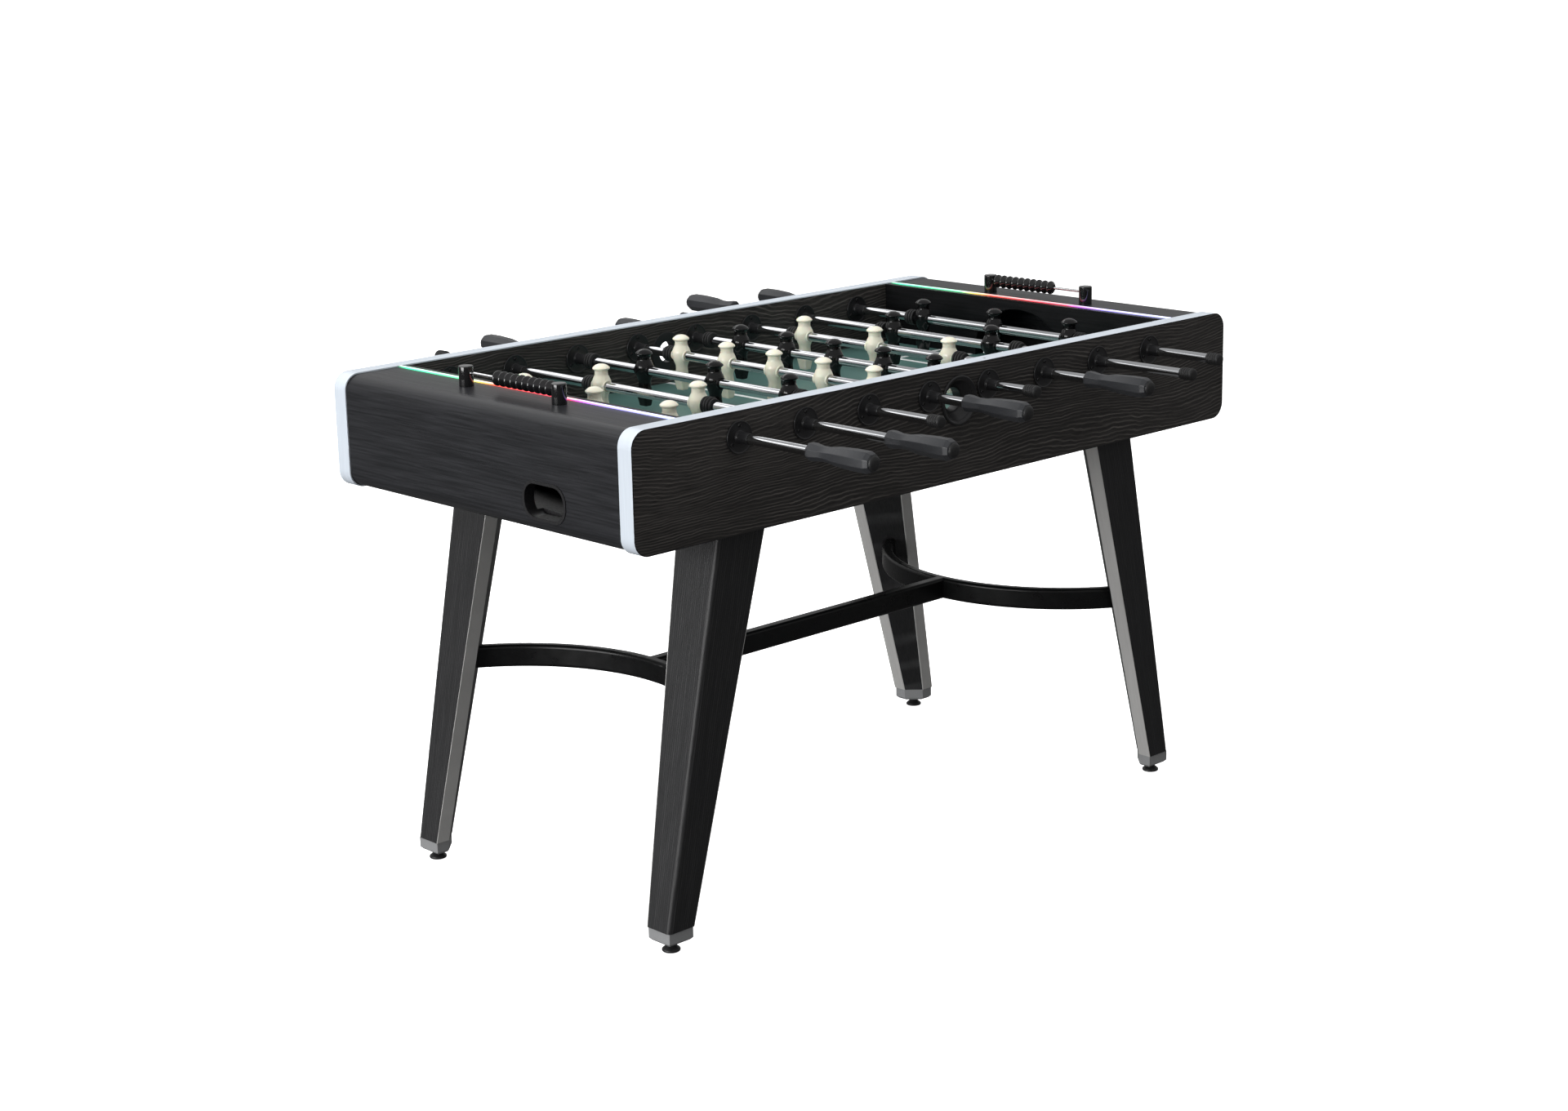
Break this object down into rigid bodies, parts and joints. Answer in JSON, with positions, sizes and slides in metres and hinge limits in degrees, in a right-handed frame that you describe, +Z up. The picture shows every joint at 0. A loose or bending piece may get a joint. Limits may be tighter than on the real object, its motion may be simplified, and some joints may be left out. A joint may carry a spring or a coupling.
{
  "type": "foosball table",
  "caption": "Free-standing foosball table: woodgrain cabinet on splayed legs with a curved stretcher, sliding and spinning player rods, bead score counters and lit end aprons.",
  "frame": {"origin": "on the floor under the middle of the table", "axes": "+X along the table towards the end whose ball return is on the far side, +Y across it away from the white team, +Z up"},
  "size_m": [1.422, 1.38, 0.9],
  "materials": {
    "black_woodgrain": "embossed black woodgrain laminate, satin",
    "leg_woodgrain": "embossed black woodgrain laminate, satin",
    "pale_edge_band": "smooth pale edge banding",
    "black_apron": "fine-grained black laminate, satin",
    "light_diffuser": "frosted diffuser over coloured lights",
    "green_playfield": "printed playing surface, semi-gloss",
    "black_moulded": "moulded, satin",
    "black_screw": "black oxide",
    "black_rubber": "matt",
    "black_gloss": "glossy",
    "steel_wire": "polished",
    "silver_edge": "smooth silver-grey edge banding",
    "pale_foot": "satin",
    "raw_wood": "unfinished",
    "black_stretcher": "black lacquer, satin",
    "zinc_bolt": "zinc plated",
    "black_leveller": "moulded, satin",
    "chrome_rod": "polished chrome",
    "white_men": "ivory, glossy",
    "black_men": "black, glossy",
    "black_grip": "matt"
  },
  "bodies": {
    "root": {"ball_entry_cups": "black_moulded", "ball_troughs": "black_moulded", "bearing_screws": "black_screw", "far_side_panel": "black_woodgrain", "frame_bolts": "zinc_bolt", "goal_walls": "black_apron", "left_end_panel": "black_apron", "leg_blocks": "raw_wood", "leg_edge_strips": "silver_edge", "leg_foot_caps": "pale_foot", "legs": "leg_woodgrain", "light_strips": "light_diffuser", "near_side_panel": "black_woodgrain", "parked_bumpers": "black_rubber", "playfield": "green_playfield", "right_end_panel": "black_apron", "rod_bearings": "black_moulded", "scorer_posts": "black_gloss", "scorer_wires": "steel_wire", "side_edge_bands": "pale_edge_band", "stretcher_arcs": "black_stretcher", "stretcher_beam": "black_stretcher"},
    "rod_1_bumper_pair": {"rod_1_bumpers": "black_rubber"},
    "rod_1": {"rod_1_shaft": "chrome_rod", "rod_1_men": "white_men", "rod_1_grip": "black_grip"},
    "rod_2_bumper_pair": {"rod_2_bumpers": "black_rubber"},
    "rod_2": {"rod_2_shaft": "chrome_rod", "rod_2_men": "white_men", "rod_2_grip": "black_grip"},
    "rod_3_bumper": {"rod_3_bumpers": "black_rubber"},
    "rod_3": {"rod_3_shaft": "chrome_rod", "rod_3_men": "black_men", "rod_3_grip": "black_grip"},
    "rod_4_bumper_pair": {"rod_4_bumpers": "black_rubber"},
    "rod_4": {"rod_4_shaft": "chrome_rod", "rod_4_men": "white_men", "rod_4_grip": "black_grip"},
    "rod_5_bumper": {"rod_5_bumpers": "black_rubber"},
    "rod_5": {"rod_5_shaft": "chrome_rod", "rod_5_men": "black_men", "rod_5_grip": "black_grip"},
    "rod_6_bumper_pair": {"rod_6_bumpers": "black_rubber"},
    "rod_6": {"rod_6_shaft": "chrome_rod", "rod_6_men": "white_men", "rod_6_grip": "black_grip"},
    "rod_7_bumper_pair": {"rod_7_bumpers": "black_rubber"},
    "rod_7": {"rod_7_shaft": "chrome_rod", "rod_7_men": "black_men", "rod_7_grip": "black_grip"},
    "rod_8_bumper_pair": {"rod_8_bumpers": "black_rubber"},
    "rod_8": {"rod_8_shaft": "chrome_rod", "rod_8_men": "black_men", "rod_8_grip": "black_grip"},
    "left_score_stack": {"left_score_beads": "black_gloss"},
    "right_score_stack": {"right_score_beads": "black_gloss"},
    "near_left_foot": {"near_left_leveller": "black_leveller"},
    "far_left_foot": {"far_left_leveller": "black_leveller"},
    "near_right_foot": {"near_right_leveller": "black_leveller"},
    "far_right_foot": {"far_right_leveller": "black_leveller"}
  },
  "joints": [
    {"name": "rod_1_slide", "type": "slide", "parent": "root", "child": "rod_1_bumper_pair", "axis": [0, 1, 0], "range_m": [-0.053, 0.129]},
    {"name": "rod_1_spin", "type": "hinge", "parent": "rod_1_bumper_pair", "child": "rod_1", "pos_m": [-0.4949, 0, 0.8265], "axis": [0, 1, 0], "continuous": true},
    {"name": "rod_2_slide", "type": "slide", "parent": "root", "child": "rod_2_bumper_pair", "axis": [0, 1, 0], "range_m": [-0.138, 0.156]},
    {"name": "rod_2_spin", "type": "hinge", "parent": "rod_2_bumper_pair", "child": "rod_2", "pos_m": [-0.3535, 0, 0.8265], "axis": [0, 1, 0], "continuous": true},
    {"name": "rod_3_slide", "type": "slide", "parent": "root", "child": "rod_3_bumper", "axis": [0, 1, 0], "range_m": [-0.075, 0.107]},
    {"name": "rod_3_spin", "type": "hinge", "parent": "rod_3_bumper", "child": "rod_3", "pos_m": [-0.2121, 0, 0.8265], "axis": [0, 1, 0], "continuous": true},
    {"name": "rod_4_slide", "type": "slide", "parent": "root", "child": "rod_4_bumper_pair", "axis": [0, 1, 0], "range_m": [-0.0265, 0.0525]},
    {"name": "rod_4_spin", "type": "hinge", "parent": "rod_4_bumper_pair", "child": "rod_4", "pos_m": [-0.0707, 0, 0.8265], "axis": [0, 1, 0], "continuous": true},
    {"name": "rod_5_slide", "type": "slide", "parent": "root", "child": "rod_5_bumper", "axis": [0, 1, 0], "range_m": [-0.0225, 0.0565]},
    {"name": "rod_5_spin", "type": "hinge", "parent": "rod_5_bumper", "child": "rod_5", "pos_m": [0.0707, 0, 0.8265], "axis": [0, 1, 0], "continuous": true},
    {"name": "rod_6_slide", "type": "slide", "parent": "root", "child": "rod_6_bumper_pair", "axis": [0, 1, 0], "range_m": [-0.112, 0.07]},
    {"name": "rod_6_spin", "type": "hinge", "parent": "rod_6_bumper_pair", "child": "rod_6", "pos_m": [0.2121, 0, 0.8265], "axis": [0, 1, 0], "continuous": true},
    {"name": "rod_7_slide", "type": "slide", "parent": "root", "child": "rod_7_bumper_pair", "axis": [0, 1, 0], "range_m": [-0.1125, 0.158]},
    {"name": "rod_7_spin", "type": "hinge", "parent": "rod_7_bumper_pair", "child": "rod_7", "pos_m": [0.3535, 0, 0.8265], "axis": [0, 1, 0], "continuous": true},
    {"name": "rod_8_slide", "type": "slide", "parent": "root", "child": "rod_8_bumper_pair", "axis": [0, 1, 0], "range_m": [-0.077, 0.105]},
    {"name": "rod_8_spin", "type": "hinge", "parent": "rod_8_bumper_pair", "child": "rod_8", "pos_m": [0.4949, 0, 0.8265], "axis": [0, 1, 0], "continuous": true},
    {"name": "left_score_slide", "type": "slide", "parent": "root", "child": "left_score_stack", "axis": [0, 1, 0], "range_m": [0, 0.0648]},
    {"name": "right_score_slide", "type": "slide", "parent": "root", "child": "right_score_stack", "axis": [0, 1, 0], "range_m": [-0.0648, 0]},
    {"name": "near_left_foot_screw", "type": "slide", "parent": "root", "child": "near_left_foot", "axis": [0, 0, -1], "range_m": [0, 0.012]},
    {"name": "far_left_foot_screw", "type": "slide", "parent": "root", "child": "far_left_foot", "axis": [0, 0, -1], "range_m": [0, 0.012]},
    {"name": "near_right_foot_screw", "type": "slide", "parent": "root", "child": "near_right_foot", "axis": [0, 0, -1], "range_m": [0, 0.012]},
    {"name": "far_right_foot_screw", "type": "slide", "parent": "root", "child": "far_right_foot", "axis": [0, 0, -1], "range_m": [0, 0.012]}
  ]
}
